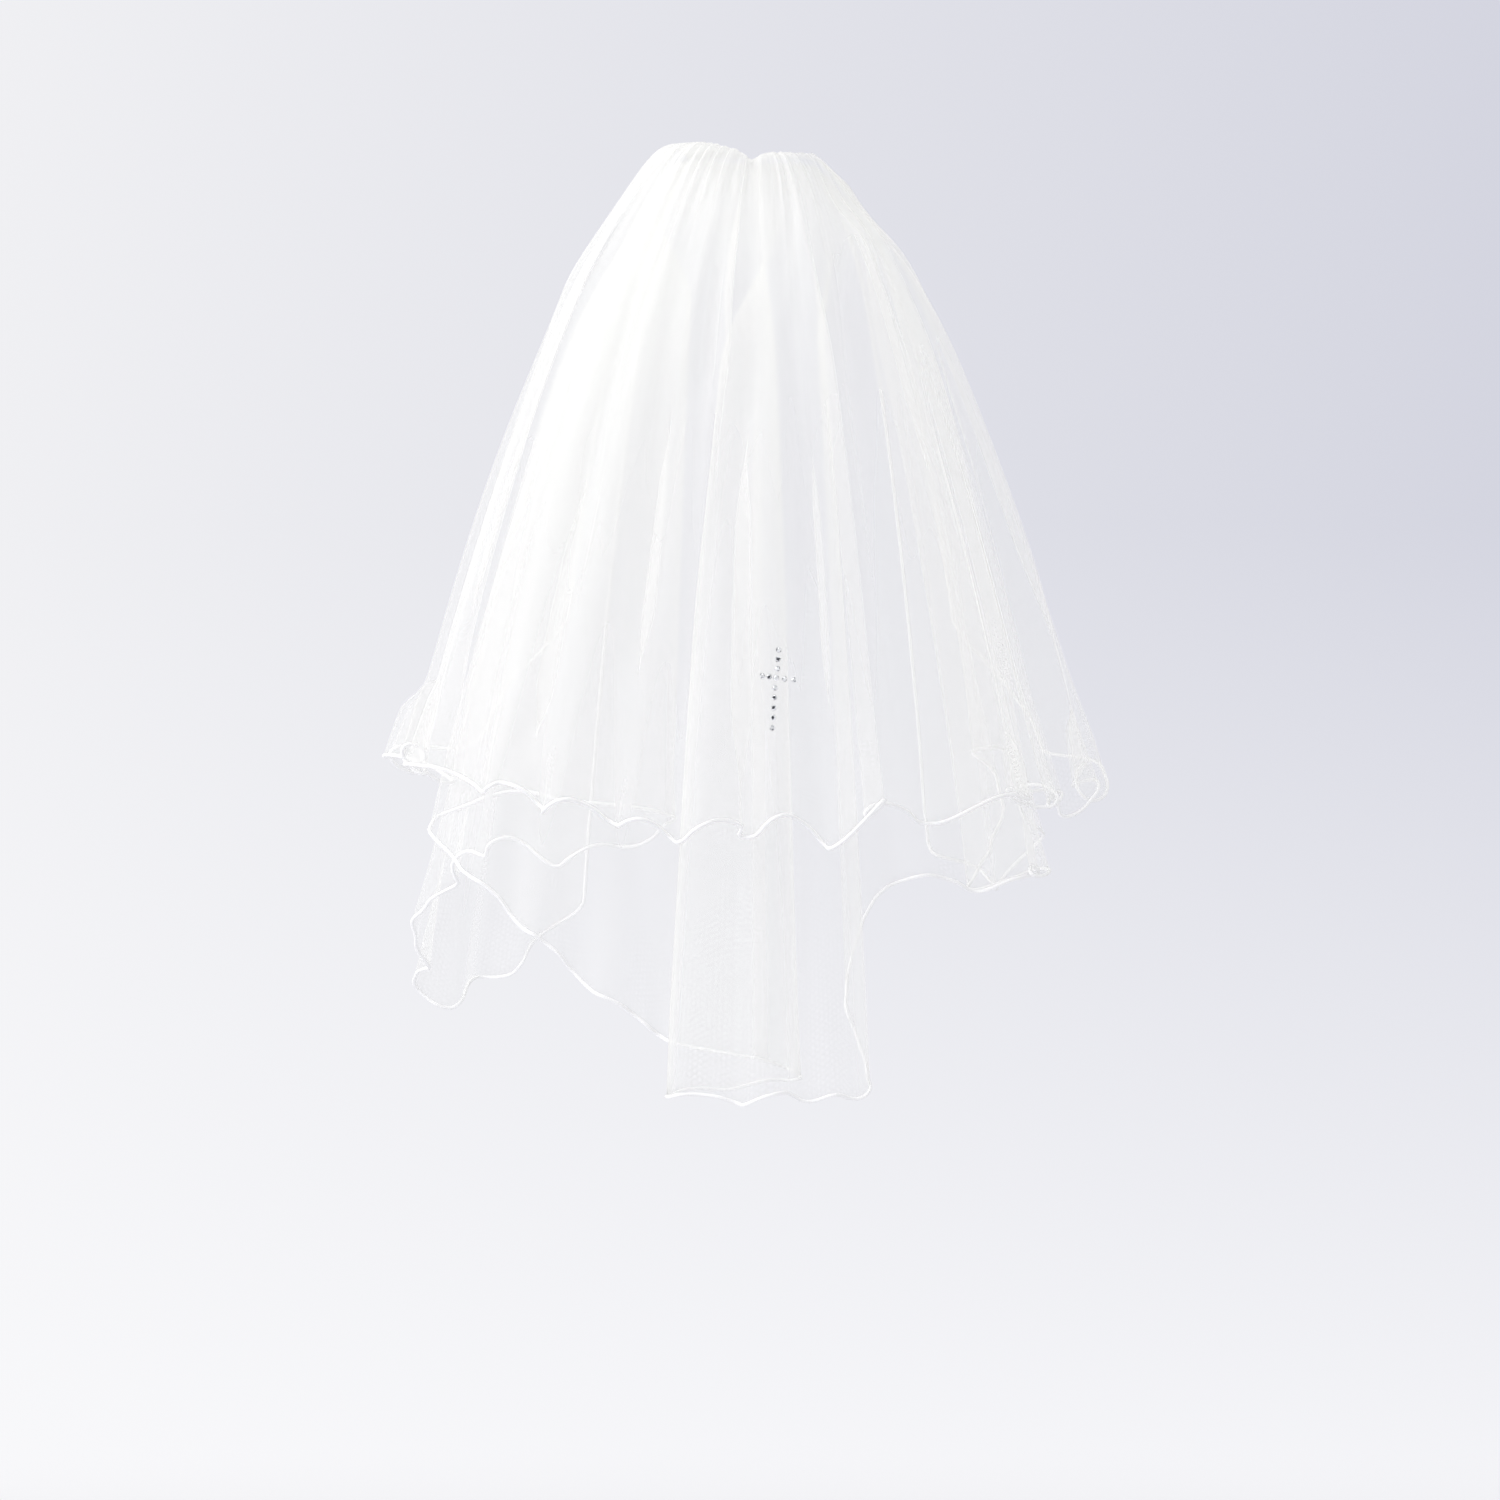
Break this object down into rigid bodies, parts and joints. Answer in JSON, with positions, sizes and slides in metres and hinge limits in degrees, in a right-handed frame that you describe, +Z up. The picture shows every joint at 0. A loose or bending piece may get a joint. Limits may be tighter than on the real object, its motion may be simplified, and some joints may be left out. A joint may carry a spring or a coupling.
{
  "type": "bridal or communion veil",
  "caption": "Short sheer veil in two gathered tiers on a plain hair comb, worn over the back of the head and shoulders, with wavy corded edges and a small crystal cross",
  "frame": {"origin": "middle of the top edge of the hair comb, where the wearer's crown holds the veil", "axes": "+X is the wearer's right, +Y is the way the wearer faces, +Z is up; the veil hangs down -Z and the picture looks along +Y at its back"},
  "size_m": [0.4827, 0.2981, 0.6383],
  "materials": {
    "upper_tulle": "sheer white nylon tulle with a faint sheen",
    "lower_tulle": "sheer white nylon tulle with a faint sheen",
    "upper_satin_cord": "white satin-wrapped cord",
    "lower_satin_cord": "white satin-wrapped cord",
    "comb_plastic": "clear moulded plastic"
  },
  "bodies": {
    "root": {"upper_tier": "upper_tulle", "lower_tier": "lower_tulle", "upper_edge_cord": "upper_satin_cord", "lower_edge_cord": "lower_satin_cord", "hair_comb": "comb_plastic"}
  },
  "joints": []
}
